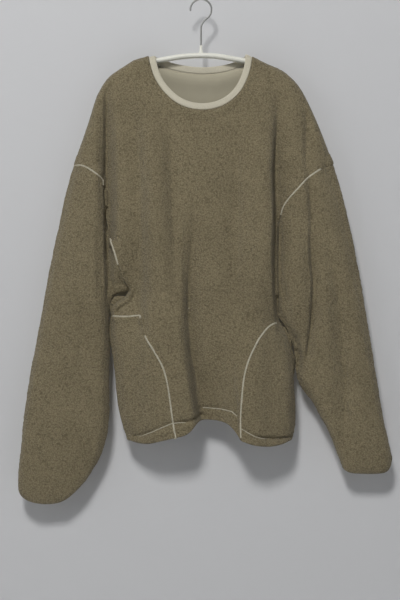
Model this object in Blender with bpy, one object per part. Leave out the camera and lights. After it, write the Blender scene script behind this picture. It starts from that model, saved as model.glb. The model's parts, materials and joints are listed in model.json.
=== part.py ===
"""Sherpa fleece pullover hanging on an arched hanger.

World frame: metres, +Z up, the front of the pullover faces -Y. The origin is the inside
top of the hanger's hook, where a rail or a wall hook carries it. Tables are in millimetres.
"""
import math

import bpy
import numpy as np

MM = 0.001
TINY = 1e-6  # mm, below which two points are one

# Cloth
FLEECE = 4.0  # wall of the boa fleece with its pile
HEM_WALL = 6.5  # wall where the hem is turned up
HEM_DEPTH = 16.0  # height of the turned hem
SEAM_GAP = 0.6  # slit between two sewn pieces
EDGE_RADIUS = 14.0  # fold over the shoulders, the sides and the sleeve edges
EDGE_REACH = 0.25  # cloth this near such an edge lies on it
BODY_SPREAD = 70.0  # distance from an edge over which the body fills out
SLEEVE_SPREAD = 34.0  # the same on a sleeve
FILL_POWER = 1.4  # how softly the cloth starts to fill out beside an edge
CUFF_SLOT = 2.6  # how far past the cuff its two layers would meet
BODY_EDGE_LEFT = ((-140, -168), (-300, -174), (-524, -164), (-560, -163))  # z, x
BODY_EDGE_RIGHT = ((-124, 138), (-376, 145), (-574, 141), (-800, 172))
BODY_STEP = 30.0  # width over which the body's form turns into a sleeve's

# Neck binding
BINDING_WIDTH = 11.0
BINDING_WALL = 3.0
BINDING_SINK = 0.5  # its face lies this much below the pile's
BINDING_SECTION = (  # share of the width, share of the wall
    (0.0, 0.25), (0.08, 0.0), (0.86, 0.0), (0.96, 0.18), (1.0, 0.5), (0.96, 0.82),
    (0.86, 1.0), (0.08, 1.0), (0.0, 0.75))

# Hanger
BAR_HIGH = 10.0
BAR_DEEP = 12.0
BAR_TOP = (  # x, z along the top of the arched bar
    (-163, -144.8), (-143, -129.8), (-116, -113.3), (-93, -107.6), (-60, -101), (-30, -96.5),
    (0, -95), (30, -96.5), (60, -101.5), (89, -107.6), (110, -117.3), (137, -130.3),
    (157, -143.3))
BAR_SIDES = 12
STUB_WIDE = 8.5
STUB_TOP = -82.0
STUB_SIDES = 14
WIRE = 3.4
WIRE_SIDES = 8
HOOK_RADIUS = 19.0  # centre line of the hook's arc
HOOK_ARC = (183, -62)  # degrees from the tip over the top to where the bend starts
HOOK_STEPS = 25
HOOK_BEND = ((3.6, -40.5), (0.3, -48), (0, -58), (0, -81.7))
ROUND_END = (0.55, 0.9)  # places of a rounded end's rings, as shares of its radius
HANGER_STEPS = 4  # chords from one key point of the bar or the bend to the next

# Edges of the hanging pullover seen from the front: key points (x, z) of smooth curves.
SHOULDER_LEFT = ((-228, -298), (-218, -266), (-200, -215), (-194, -193), (-183, -163),
                 (-167, -140), (-145, -124), (-117, -107), (-94, -102))
SHOULDER_RIGHT = ((238, -297), (226, -264), (214, -230), (200, -202), (184, -166),
                  (170, -145), (139, -124), (112, -112), (92, -102))
CROWN_LEFT = 5  # point of SHOULDER_LEFT at which the fold beside the body starts
CROWN_RIGHT = 6  # the same on SHOULDER_RIGHT
SLEEVE_OUTER_LEFT = ((-228, -298), (-238, -326), (-259, -423), (-275, -495), (-290, -585),
                     (-308, -675), (-322, -774), (-330, -855), (-329, -880))
SLEEVE_INNER_LEFT = ((-130, -524), (-147, -526), (-159, -531), (-166, -541), (-167, -556),
                     (-165, -580), (-164, -610), (-164, -640), (-166, -668), (-164, -720),
                     (-166, -774), (-175, -810), (-191, -842), (-206, -864))
CUFF_LEFT = ((-329, -880), (-324, -891), (-310, -901), (-288, -906), (-267, -907),
             (-244, -900), (-227, -886), (-206, -864))
SLEEVE_OUTER_RIGHT = ((238, -297), (247, -324), (265, -396), (279, -459), (290, -522),
                      (299, -576), (311, -648), (322, -720), (337, -787), (344, -824))
SLEEVE_INNER_RIGHT = ((140, -574), (147, -580), (154, -593), (160, -606), (165.5, -621),
                      (168, -639), (169, -666), (170, -683), (174, -692), (184, -702),
                      (196, -718), (216, -754), (234, -788), (247, -824), (254, -841))
CUFF_RIGHT = ((344, -824), (342, -836), (336, -847), (325, -851), (294, -852), (263, -849),
              (254, -841))
SIDE_LEFT = ((-130, -524), (-132, -531), (-140, -538), (-153, -543), (-162, -554),
             (-162, -568))
SIDE_RIGHT = ((140, -574), (141, -577), (142, -580))
PANEL_SIDE_LEFT = ((-162, -568), (-161.5, -600), (-161, -634), (-155, -662),
                   (-151, -720), (-144, -756), (-132, -791))
PANEL_SIDE_RIGHT = ((142, -580), (150, -594), (156.5, -607), (162, -622), (165, -639),
                    (166, -666), (167, -692), (170, -740), (170, -765), (164, -788))

# Seams of the front: key points (x, z)
CAP_FRONT_LEFT = ((-228, -298), (-219, -298), (-210, -300), (-201, -304), (-192, -311),
                  (-183, -317), (-176, -324))
CAP_FRONT_RIGHT = ((238, -297), (226, -301), (208, -310), (196, -317), (178, -339),
                   (166, -351), (155, -364), (148, -376))
ARMHOLE_FRONT_LEFT = ((-176, -324), (-172, -361), (-170, -412), (-164, -427), (-154, -451),
                      (-147, -481), (-139, -503), (-130, -524))
ARMHOLE_FRONT_RIGHT = ((148, -376), (144, -392), (143, -433), (143, -486), (142, -540),
                       (140, -574))
PANEL_TOP_LEFT = ((-162, -568), (-135, -569), (-109, -567))
PANEL_TOP_RIGHT = ((142, -580), (128, -582), (118, -589), (107, -601))
PANEL_SEAM_LEFT = ((-109, -567), (-102, -600), (-84, -628), (-68, -652), (-60, -680),
                   (-54, -716), (-50, -751), (-44, -783))
PANEL_SEAM_RIGHT = ((107, -601), (98, -615), (89, -633), (82, -649), (77, -666),
                    (74, -684), (72, -707), (69, -751), (70, -788))
NECK_FRONT = ((-94, -102), (-91, -119), (-86, -136), (-79, -151), (-70, -164), (-52, -183),
              (-37, -193), (-20, -199), (2, -202), (20, -200), (37, -195), (55, -184),
              (69, -170), (79, -153), (86, -136), (90, -119), (92, -102))
HEM_LEFT = ((-132, -791), (-107, -796), (-89, -795), (-72, -790), (-44, -783))
HEM_MIDDLE = ((-44, -783), (-28, -779), (-16, -770), (-9, -761), (-2, -756), (16, -755),
              (34, -757), (46, -760), (57, -769), (65, -780), (70, -788))
HEM_RIGHT = ((70, -788), (79, -791), (89, -796), (107, -798), (121, -800), (138, -798),
             (150, -794), (164, -788))

# Seams of the back, the same pieces from behind
CAP_BACK_LEFT = ((-228, -298), (-205, -306), (-188, -324), (-176, -352))
CAP_BACK_RIGHT = ((238, -297), (214, -306), (182, -330), (150, -382))
ARMHOLE_BACK_LEFT = ((-176, -352), (-168, -400), (-155, -460), (-130, -524))
ARMHOLE_BACK_RIGHT = ((150, -382), (148, -440), (146, -520), (140, -574))
NECK_BACK = ((-94, -102), (-88, -110), (-69, -118), (-38, -126), (2, -130), (40, -127),
             (71, -118), (86, -110), (92, -102))
HEM_BACK = ((-132, -791), (-90, -789), (-40, -772), (0, -752), (40, -754), (80, -778),
            (120, -788), (164, -788))

# Half depths: height z, front of the body, back of the body, front and back of the sleeves
SECTIONS = (
    # z, body front, body back, sleeve front, sleeve back
    (-102, 15, 15, 15, 15),
    (-200, 26, 24, 20, 20),
    (-300, 34, 29, 25, 24),
    (-420, 39, 32, 28, 26),
    (-560, 44, 34, 29, 25),
    (-700, 50, 36, 27, 24),
    (-800, 55, 37, 24, 22),
    (-910, 55, 37, 20, 20),
)

# Folds: name, path rows (x, z, depth), width on the left, width on the right. A positive
# depth is a valley, a negative one a ridge. Widths are in mm, to a third of the depth.
FRONT_FOLDS = (
    ("beside the body, left", ((-169, -150, 0), (-173, -200, 9), (-173, -300, 19),
     (-172, -400, 20), (-176, -480, 17), (-178, -540, 0)), 7, 17),
    ("beside the body, right", ((138, -160, 0), (138, -220, 8), (138, -300, 18),
     (143, -380, 22), (142, -480, 20), (142, -530, 12), (141, -570, 0)), 8, 18),
    ("left overlap", ((-118, -165, 0), (-106, -240, -6), (-96, -320, -10),
     (-95, -450, -11), (-95, -580, -12), (-92, -700, -8), (-90, -790, -5)), 10, 46),
    ("soft valley", ((-58, -190, 0), (-54, -260, 4), (-46, -360, 5), (-40, -450, 3),
     (-38, -500, 0)), 13, 16),
    ("main fold", ((-14, -330, 0), (-20, -400, 7), (-24, -500, 14), (-23, -580, 20),
     (-14, -650, 27), (-3, -710, 32), (3, -790, 34)), 9, 34),
    ("middle valley", ((30, -480, 0), (32, -580, 8), (34, -680, 18), (32, -790, 26)), 26, 24),
    ("right valley", ((66, -220, 0), (66, -320, 5), (66, -430, 4), (64, -520, 0)), 14, 22),
    ("right ridge", ((100, -200, 0), (104, -340, -7), (102, -500, -8), (98, -650, -9),
     (96, -790, -10)), 24, 24),
    ("cap, right", ((188, -170, 0), (188, -240, 4), (186, -320, 0)), 8, 12),
    ("sleeve, right, inner", ((197, -320, 0), (201, -410, 6), (205, -520, 12),
     (199, -590, 10), (194, -650, 10), (184, -700, 4)), 11, 9),
    ("sleeve, right, outer", ((234, -420, 0), (243, -500, 6), (249, -590, 10),
     (256, -680, 11), (259, -760, 9), (256, -830, 5)), 14, 11),
    ("sleeve, left", ((-205, -560, 0), (-214, -660, 4), (-218, -760, 3), (-220, -840, 0)),
     16, 22),
)
BACK_FOLDS = (
    ("beside the body, left", ((-168, -200, 0), (-170, -300, 9), (-170, -410, 12),
     (-164, -480, 5), (-160, -520, 0)), 12, 16),
    ("beside the body, right", ((142, -200, 0), (146, -320, 10), (147, -440, 13),
     (147, -510, 5), (146, -550, 0)), 13, 14),
    ("left of the middle", ((-70, -260, 0), (-78, -400, 8), (-84, -560, 11),
     (-80, -790, 12)), 18, 26),
    ("right of the middle", ((44, -220, 0), (52, -380, 7), (60, -560, 12),
     (58, -790, 13)), 24, 18),
    ("sleeve, left", ((-222, -420, 0), (-236, -560, 6), (-246, -720, 5), (-256, -840, 0)),
     15, 13),
    ("sleeve, right", ((214, -420, 0), (228, -560, 7), (250, -700, 6), (276, -820, 0)),
     14, 16),
)

# Rows and columns of the panels' grids
TOP_OFFSETS = (0.0, 2.0, 7.0, 16.0)  # mm below the shoulder or neck edge
TOP_SHARES = (0.0, 0.1, 0.25, 0.45)  # the same at most as shares of a short column
CAP_ROWS = 7
ARMHOLE_ROWS_LEFT = 7
SIDE_ROWS_LEFT = 4
ARMHOLE_ROWS_RIGHT = 9
SIDE_ROWS_RIGHT = 2
CURVE_STEPS = 8  # chords of a smooth curve from one key point to the next
PANEL_ROWS = 9
HEM_ROW = 0.925  # share of a side above the turned hem
NECK_COLUMNS = 18
LEVEL_WEIGHT = 0.3  # how much of a column's place comes from its level run under the neck
WING_COLUMNS = (0.0, 0.21, 0.41, 0.6, 0.77, 0.9, 1.0)
CROWN_COLUMNS_LEFT = (0.0, 0.09, 0.19, 0.31, 0.45, 0.62, 0.81, 1.0)
CROWN_COLUMNS_RIGHT = (0.0, 0.1, 0.23, 0.39, 0.57, 0.78, 1.0)
LEFT_COLUMNS = len(CROWN_COLUMNS_LEFT) - 1  # columns of the left corner panel too
RIGHT_COLUMNS = len(CROWN_COLUMNS_RIGHT) - 1
SLEEVE_ROWS = (0.0, 0.03, 0.07, 0.13, 0.2, 0.28, 0.37, 0.46, 0.56, 0.66, 0.76, 0.86, 0.94,
               0.975, 0.992, 1.0)


# ---------------------------------------------------------------- curves and the form

def lerp(first, last, share):
    return first + (last - first) * share


def smooth_path(points, steps=CURVE_STEPS):
    """Centripetal Catmull-Rom curve through the key points, as a dense polyline."""
    keys = np.array(points, float)
    keys = np.vstack([2 * keys[0] - keys[1], keys, 2 * keys[-1] - keys[-2]])
    path = []
    for p0, p1, p2, p3 in zip(keys, keys[1:], keys[2:], keys[3:]):
        t1 = math.sqrt(np.linalg.norm(p1 - p0))
        t2 = t1 + math.sqrt(np.linalg.norm(p2 - p1))
        t3 = t2 + math.sqrt(np.linalg.norm(p3 - p2))
        for step in range(steps):
            t = lerp(t1, t2, step / steps)
            a1 = lerp(p0, p1, t / t1)
            a2 = lerp(p1, p2, (t - t1) / (t2 - t1))
            a3 = lerp(p2, p3, (t - t2) / (t3 - t2))
            b1 = lerp(a1, a2, t / t2)
            b2 = lerp(a2, a3, (t - t1) / (t3 - t1))
            path.append(lerp(b1, b2, (t - t1) / (t2 - t1)))
    path.append(keys[-2])
    return np.array(path)


def even(count):
    return np.linspace(0.0, 1.0, count + 1)


def pushed_out(points, distance):
    """A curve moved down, away from the cloth, so that the cuff stays a slot."""
    return [(x, z - distance) for x, z in points]


FOLDED_EDGES = [smooth_path(points) for points in (
    SHOULDER_LEFT, SHOULDER_RIGHT, SLEEVE_OUTER_LEFT, SLEEVE_INNER_LEFT,
    SLEEVE_OUTER_RIGHT, SLEEVE_INNER_RIGHT, SIDE_LEFT + PANEL_SIDE_LEFT[1:],
    SIDE_RIGHT + PANEL_SIDE_RIGHT[1:], pushed_out(CUFF_LEFT, CUFF_SLOT),
    pushed_out(CUFF_RIGHT, CUFF_SLOT))]


def edge_distance(flat):
    """Distance of points (x, z) to the nearest edge where front and back meet."""
    nearest = np.full(len(flat), np.inf)
    for edge in FOLDED_EDGES:
        for start, end in zip(edge, edge[1:]):
            run = end - start
            share = np.clip((flat - start) @ run / (run @ run), 0, 1)
            gap = np.linalg.norm(flat - start - share[:, None] * run, axis=1)
            nearest = np.minimum(nearest, gap)
    return np.maximum(nearest - EDGE_REACH, 0.0)


def table_column(z, column):
    table = np.array(SECTIONS, float)[::-1]
    return np.interp(z, table[:, 0], table[:, column])


def body_share(x, z):
    """1 on the body, 0 on the sleeves, with a soft step at the folds beside the body."""
    left, right = [np.interp(z, *np.array(edge[::-1], float).T)
                   for edge in (BODY_EDGE_LEFT, BODY_EDGE_RIGHT)]
    inside = np.minimum(x - left, right - x)
    share = np.clip(inside / BODY_STEP + 0.5, 0, 1)
    return share * share * (3 - 2 * share)


def fold_depth(folds, x, z):
    """Sum of the folds at points, each a valley across its path."""
    total = np.zeros(len(x))
    for _, path, left_width, right_width in folds:
        rows = smooth_path(path)
        order = np.argsort(rows[:, 1])
        middle = np.interp(z, rows[order, 1], rows[order, 0])
        depth = np.interp(z, rows[order, 1], rows[order, 2], left=path[-1][2], right=0.0)
        offset = x - middle
        width = np.where(offset < 0, left_width, right_width)
        total += depth * np.exp(-(offset / width) ** 2)
    return total


def cloth(flat, side):
    """World points in mm of front (side -1) or back (side +1) at places (x, z)."""
    x, z = flat[:, 0], flat[:, 1]
    gap = edge_distance(flat)
    body = body_share(x, z)
    body_half = table_column(z, 1 if side < 0 else 2)
    sleeve_half = table_column(z, 3 if side < 0 else 4)
    half = lerp(sleeve_half, body_half, body)
    spread = lerp(SLEEVE_SPREAD, BODY_SPREAD, body)
    near = np.minimum(gap / EDGE_RADIUS, 1.0)
    turn = EDGE_RADIUS * np.sqrt(np.maximum(1 - (1 - near) ** 2, 0.0))
    fill = (half - EDGE_RADIUS) * (1 - np.exp(-(gap / spread) ** FILL_POWER))
    folds = fold_depth(FRONT_FOLDS if side < 0 else BACK_FOLDS, x, z)
    away = np.minimum(gap / (2 * EDGE_RADIUS), 1.0)
    depth = turn + fill - folds * away * away * (3 - 2 * away)
    return np.column_stack([x, side * depth, z])


# ---------------------------------------------------------------- the panels' flat grids

def column_shares(length):
    """Rows from an edge down to the end of the armhole cap, close together at the edge."""
    shares = [min(offset / length, share) for offset, share in zip(TOP_OFFSETS, TOP_SHARES)]
    rest = CAP_ROWS - len(shares) + 1
    shares += [lerp(shares[-1], 1.0, (step + 1) / rest) for step in range(rest)]
    return np.array(shares)


def ruled_rows(top, bottom):
    """Grid [row][column] between two rows of points, with the edge rows of column_shares."""
    grid = np.zeros((CAP_ROWS + 1, len(top), 2))
    for column, (start, end) in enumerate(zip(top, bottom)):
        length = np.linalg.norm(end - start)
        if length < TINY:
            grid[:, column] = start
            continue
        grid[:, column] = start + column_shares(length)[:, None] * (end - start)
    return grid


def coons(top, bottom, left, right, across, down):
    """Grid [row][column] filling the four edges, with the given shares of blending."""
    grid = np.zeros((len(left), len(top), 2))
    for row, v in enumerate(down):
        for column, u in enumerate(across):
            sides = lerp(left[row], right[row], u)
            ends = lerp(top[column], bottom[column], v)
            corners = lerp(lerp(top[0], top[-1], u), lerp(bottom[0], bottom[-1], u), v)
            grid[row, column] = sides + ends - corners
    return grid


def shares_down(left, right):
    """Blending share of each row: its mean height between the first and the last row."""
    height = (left[:, 1] + right[:, 1]) / 2
    return (height[0] - height) / (height[0] - height[-1])


def share_of_path(path, shares):
    """Points of a dense polyline at the given shares of its length."""
    lengths = np.linalg.norm(np.diff(path, axis=0), axis=1)
    travelled = np.concatenate([[0.0], np.cumsum(lengths)]) / lengths.sum()
    return np.column_stack([np.interp(shares, travelled, column) for column in path.T])


def along(points, shares):
    """Points of the smooth curve through the key points at shares of its length."""
    return share_of_path(smooth_path(points), shares)


def split_shoulder(shoulder, crown):
    """The shoulder's edge, outside the fold beside the body and from there to the neck."""
    path = smooth_path(shoulder)
    cut = crown * CURVE_STEPS
    return path[:cut + 1], path[cut:]


def column_places(top):
    """Share across the body at which each column runs down: spread out below the neck."""
    step = np.diff(top, axis=0)
    weight = lerp(np.linalg.norm(step, axis=1), np.abs(step[:, 0]), LEVEL_WEIGHT)
    return np.concatenate([[0.0], np.cumsum(weight)]) / weight.sum()


def neck_rows(neck):
    """Points on the neck edge: down its left end, along it, and down its right end."""
    length = np.linalg.norm(np.diff(smooth_path(neck), axis=0), axis=1).sum()
    ends = np.array(TOP_OFFSETS) / length
    between = lerp(ends[-1], 1 - ends[-1], even(NECK_COLUMNS))
    return along(neck, ends), along(neck, between), along(neck, 1 - ends)


def crown_grid(top, bottom, neck_end, neck_last):
    """Rows between shoulder and chest on one side of the neck, ending on the neck edge."""
    grid = ruled_rows(top, bottom)
    rows = len(TOP_OFFSETS)
    column = -1 if neck_last else 0
    grid[:rows, column] = neck_end
    rest = even(CAP_ROWS - rows + 1)[1:, None]
    grid[rows:, column] = lerp(neck_end[-1], bottom[column], rest)
    return grid


def upper_grids(neck, cap_left, cap_right):
    """The caps, the crowns beside the neck and the middle under it, and the columns."""
    outside_left, inside_left = split_shoulder(SHOULDER_LEFT, CROWN_LEFT)
    outside_right, inside_right = split_shoulder(SHOULDER_RIGHT, CROWN_RIGHT)
    wing_left = ruled_rows(share_of_path(outside_left, WING_COLUMNS),
                           along(cap_left, WING_COLUMNS))
    wing_right = ruled_rows(share_of_path(outside_right, WING_COLUMNS),
                            along(cap_right, WING_COLUMNS))[:, ::-1]
    neck_left, neck_middle, neck_right = neck_rows(neck)
    top_left = share_of_path(inside_left, CROWN_COLUMNS_LEFT)
    top_right = share_of_path(inside_right, CROWN_COLUMNS_RIGHT)[::-1]
    across = column_places(np.vstack([top_left, neck_middle[1:-1], top_right]))
    chest = np.array([lerp(wing_left[-1, -1], wing_right[-1, 0], u) for u in across])
    first = len(top_left) - 1
    last = len(across) - len(top_right)
    crown_left = crown_grid(top_left, chest[:first + 1], neck_left, True)
    crown_right = crown_grid(top_right, chest[last:], neck_right, False)
    under = even(CAP_ROWS - len(TOP_OFFSETS) + 1)[:, None, None]
    middle = lerp(neck_middle, chest[first:last + 1], under)
    start = len(TOP_OFFSETS) - 1
    middle[:, 0] = crown_left[start:, -1]
    middle[:, -1] = crown_right[start:, 0]
    return [wing_left, crown_left, middle, crown_right, wing_right], chest, across


def lower_grid(top, bottom, left, right, across):
    return coons(top, bottom, left, right, across, shares_down(left, right))


def hem_rows(count):
    """Shares of a side down to the hem; the last step is the turned hem's height."""
    return np.append(even(count - 1) * HEM_ROW, 1.0)


def side_points(armhole, armhole_rows, side, side_rows):
    """Points down one side of a panel: the armhole and the side above the corner panel."""
    return np.vstack([along(armhole, even(armhole_rows)), along(side, even(side_rows))[1:]])


def left_side(armhole):
    return side_points(armhole, ARMHOLE_ROWS_LEFT, SIDE_LEFT, SIDE_ROWS_LEFT)


def right_side(armhole):
    return side_points(armhole, ARMHOLE_ROWS_RIGHT, SIDE_RIGHT, SIDE_ROWS_RIGHT)


def front_grids():
    """Blocks of the front: down to the chest, on to the corner panels, and between them."""
    upper, chest, across = upper_grids(NECK_FRONT, CAP_FRONT_LEFT, CAP_FRONT_RIGHT)
    left = left_side(ARMHOLE_FRONT_LEFT)
    right = right_side(ARMHOLE_FRONT_RIGHT)
    panel_left = along(PANEL_TOP_LEFT, even(LEFT_COLUMNS))
    panel_right = along(PANEL_TOP_RIGHT, even(RIGHT_COLUMNS))[::-1]
    between = np.array([lerp(panel_left[-1], panel_right[0], u)
                        for u in even(NECK_COLUMNS)])
    waist = np.vstack([panel_left, between[1:-1], panel_right])
    rows = hem_rows(PANEL_ROWS)
    belly = lower_grid(between, along(HEM_MIDDLE, even(NECK_COLUMNS)),
                       along(PANEL_SEAM_LEFT, rows), along(PANEL_SEAM_RIGHT, rows),
                       even(NECK_COLUMNS))
    return upper + [lower_grid(chest, waist, left, right, across), belly]


def back_grids():
    """Blocks of the back: down to the shoulder blades, and from there to the hem."""
    upper, chest, across = upper_grids(NECK_BACK, CAP_BACK_LEFT, CAP_BACK_RIGHT)
    rows = hem_rows(PANEL_ROWS)[1:]
    left = np.vstack([left_side(ARMHOLE_BACK_LEFT), along(PANEL_SIDE_LEFT, rows)])
    right = np.vstack([right_side(ARMHOLE_BACK_RIGHT), along(PANEL_SIDE_RIGHT, rows)])
    return upper + [lower_grid(chest, along(HEM_BACK, across), left, right, across)]


def side_panel_grid(top, seam, side, hem, columns):
    """Grid of a curved corner panel, its columns running from the side to the seam."""
    rows = hem_rows(PANEL_ROWS)
    return lower_grid(along(top, even(columns)), along(hem, even(columns)), along(side, rows),
                      along(seam, rows), even(columns))


def sleeve_grid(cap, armhole, armhole_rows, outer, inner, cuff):
    """Front or back of a sleeve: row 0 is the armhole seam, the columns run outer to inner."""
    seam = np.vstack([along(cap, WING_COLUMNS), along(armhole, even(armhole_rows))[1:]])
    steps = np.linalg.norm(np.diff(seam, axis=0), axis=1)
    seam_shares = np.concatenate([[0.0], np.cumsum(steps)]) / steps.sum()
    # half of each column's place crowds towards the folded edges, where the cloth turns
    eased = 0.5 - 0.5 * np.cos(np.pi * even(len(seam) - 1))
    across = (seam_shares + eased) / 2
    return coons(seam, along(cuff, across), along(outer, SLEEVE_ROWS),
                 along(inner, SLEEVE_ROWS), across, SLEEVE_ROWS)


# ---------------------------------------------------------------- solids from the grids

def key_of(point):
    return tuple(np.round(point, 3))


class Piece:
    """Outer faces of one cut piece of cloth, before it gets its thickness."""

    def __init__(self, name):
        self.name = name
        self.points = []
        self.index = {}
        self.faces = []

    def vertex(self, point):
        key = key_of(point)
        if key not in self.index:
            self.index[key] = len(self.points)
            self.points.append(np.array(point, float))
        return self.index[key]

    def add_grid(self, flat, side, flip=False):
        """Faces over a grid of places; the outside of the front looks to -Y."""
        rows, columns = flat.shape[:2]
        world = cloth(flat.reshape(-1, 2), side).reshape(rows, columns, 3)
        index = [[self.vertex(point) for point in row] for row in world]
        for upper, lower in zip(index, index[1:]):
            for column in range(columns - 1):
                corners = (upper[column], lower[column], lower[column + 1],
                           upper[column + 1])
                if (side > 0) != flip:
                    corners = corners[::-1]
                ring = [c for c, after in zip(corners, corners[1:] + corners[:1])
                        if c != after]
                if len(set(ring)) > 2:
                    self.faces.append(ring)


def face_normal(points, ring):
    total = np.zeros(3)
    for here, after in zip(ring, ring[1:] + ring[:1]):
        total += np.cross(points[here], points[after])
    return total


def shared_normals(pieces):
    """Normals by place, summed over every piece, so that neighbours offset alike."""
    normals = {}
    for piece in pieces:
        for ring in piece.faces:
            normal = face_normal(piece.points, ring)
            for corner in ring:
                key = key_of(piece.points[corner])
                normals[key] = normals.get(key, np.zeros(3)) + normal
    return {key: normal / np.linalg.norm(normal) for key, normal in normals.items()}


def open_edges(faces):
    """Directed edges that only one face uses."""
    directed = {(a, b) for ring in faces for a, b in zip(ring, ring[1:] + ring[:1])}
    return [(a, b) for a, b in directed if (b, a) not in directed]


def thick_mesh(piece, normals, wall_of):
    """Closed wall: outer points drawn back from the seams, inner points along the normals."""
    points = np.array(piece.points)
    normal = np.array([normals[key_of(point)] for point in points])
    border = open_edges(piece.faces)
    inward = np.zeros_like(points)
    for a, b in border:
        run = points[b] - points[a]
        run /= np.linalg.norm(run)
        for corner in (a, b):
            inward[corner] += np.cross(normal[corner], run)
    length = np.linalg.norm(inward, axis=1)
    moved = length > 0
    outer = points.copy()
    outer[moved] += inward[moved] / length[moved, None] * SEAM_GAP / 2
    inner = outer - normal * wall_of(points)[:, None]
    count = len(points)
    vertices = np.vstack([outer, inner]) * MM
    faces = [list(ring) for ring in piece.faces]
    faces += [[corner + count for corner in reversed(ring)] for ring in piece.faces]
    for a, b in border:
        # both sides of a seam split their edge faces along the same diagonal
        if key_of(points[a]) < key_of(points[b]):
            faces += [[b, a, b + count], [a, a + count, b + count]]
        else:
            faces += [[b, a, a + count], [b, a + count, b + count]]
    mesh = bpy.data.meshes.new(piece.name)
    mesh.from_pydata(vertices.tolist(), [], faces)
    mesh.validate()
    return mesh


def body_wall(points):
    """Wall of a panel: thicker in the turned hem."""
    front_hem = np.array(sorted(HEM_LEFT + HEM_MIDDLE[1:] + HEM_RIGHT[1:]), float)
    back_hem = np.array(HEM_BACK, float)
    hem = np.where(points[:, 1] < 0,
                   np.interp(points[:, 0], front_hem[:, 0], front_hem[:, 1]),
                   np.interp(points[:, 0], back_hem[:, 0], back_hem[:, 1]))
    return np.interp(points[:, 2] - hem, (0.0, HEM_DEPTH), (HEM_WALL, FLEECE))


def plain_wall(points):
    return np.full(len(points), FLEECE)


def material(name, colour, roughness, metallic=0.0):
    made = bpy.data.materials.new(name)
    made.use_nodes = True
    shader = made.node_tree.nodes["Principled BSDF"]
    shader.inputs["Base Color"].default_value = (*colour, 1.0)
    shader.inputs["Roughness"].default_value = roughness
    shader.inputs["Metallic"].default_value = metallic
    return made


def add_object(name, mesh, made, parent):
    mesh.materials.append(made)
    mesh.shade_smooth()
    mesh.set_sharp_from_angle(angle=math.radians(50))
    built = bpy.data.objects.new(name, mesh)
    bpy.context.collection.objects.link(built)
    built.parent = parent
    return built


def cloth_pieces():
    front = Piece("front_panel")
    back = Piece("back_panel")
    for grid in front_grids():
        front.add_grid(grid, -1)
    for grid in back_grids():
        back.add_grid(grid, 1)
    left_panel = Piece("side_panel_left")
    left_panel.add_grid(side_panel_grid(PANEL_TOP_LEFT, PANEL_SEAM_LEFT, PANEL_SIDE_LEFT,
                                        HEM_LEFT, LEFT_COLUMNS), -1)
    right_panel = Piece("side_panel_right")
    right_panel.add_grid(side_panel_grid(PANEL_TOP_RIGHT, PANEL_SEAM_RIGHT, PANEL_SIDE_RIGHT,
                                         HEM_RIGHT[::-1], RIGHT_COLUMNS),
                         -1, flip=True)
    left_sleeve = Piece("sleeve_left")
    right_sleeve = Piece("sleeve_right")
    for side, cap, armhole in ((-1, CAP_FRONT_LEFT, ARMHOLE_FRONT_LEFT),
                               (1, CAP_BACK_LEFT, ARMHOLE_BACK_LEFT)):
        left_sleeve.add_grid(sleeve_grid(cap, armhole, ARMHOLE_ROWS_LEFT, SLEEVE_OUTER_LEFT,
                                         SLEEVE_INNER_LEFT, CUFF_LEFT), side)
    for side, cap, armhole in ((-1, CAP_FRONT_RIGHT, ARMHOLE_FRONT_RIGHT),
                               (1, CAP_BACK_RIGHT, ARMHOLE_BACK_RIGHT)):
        right_sleeve.add_grid(sleeve_grid(cap, armhole, ARMHOLE_ROWS_RIGHT,
                                          SLEEVE_OUTER_RIGHT, SLEEVE_INNER_RIGHT,
                                          CUFF_RIGHT), side, flip=True)
    return front, back, left_panel, right_panel, left_sleeve, right_sleeve


def build_cloth(made, parent):
    pieces = cloth_pieces()
    normals = shared_normals(pieces)
    for piece in pieces:
        wall = plain_wall if piece.name.startswith("sleeve") else body_wall
        add_object(piece.name, thick_mesh(piece, normals, wall), made, parent)
    return normals


# ---------------------------------------------------------------- binding and hanger

def mesh_of_rings(name, rings, closed):
    """Mesh through equal rings of points; closed joins the last ring to the first."""
    count = len(rings[0])
    vertices = np.vstack(rings) * MM
    faces = []
    pairs = [(k, k + 1) for k in range(len(rings) - 1)]
    if closed:
        pairs.append((len(rings) - 1, 0))
    for here, after in pairs:
        for k in range(count):
            other = (k + 1) % count
            faces.append((here * count + k, after * count + k, after * count + other,
                          here * count + other))
    if not closed:
        faces.append(tuple(range(count)))
        faces.append(tuple((len(rings) - 1) * count + k for k in reversed(range(count))))
    mesh = bpy.data.meshes.new(name)
    mesh.from_pydata(vertices.tolist(), [], faces)
    return mesh


def neck_loop():
    """Points of the panels' neck edge, once round: front left to right, back right to left."""
    front, back = [cloth(np.vstack([left, middle[1:-1], right[::-1]]), side)
                   for side, (left, middle, right) in ((-1, neck_rows(NECK_FRONT)),
                                                       (1, neck_rows(NECK_BACK)))]
    return np.vstack([front, back[-2:0:-1]])


def build_binding(normals, made, parent):
    """Folded rib that carries the cloth's edge on, round the neck."""
    loop = neck_loop()
    rings = []
    for here, before, after in zip(loop, np.roll(loop, 1, axis=0), np.roll(loop, -1, axis=0)):
        run = (after - before) / np.linalg.norm(after - before)
        normal = normals[key_of(here)]
        out = np.cross(normal, run)
        out /= np.linalg.norm(out)
        rings.append(np.array([here + out * (SEAM_GAP + share * BINDING_WIDTH)
                               - normal * (BINDING_SINK + depth * BINDING_WALL)
                               for share, depth in BINDING_SECTION]))
    add_object("neck_binding", mesh_of_rings("neck_binding", rings, True), made, parent)


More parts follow.
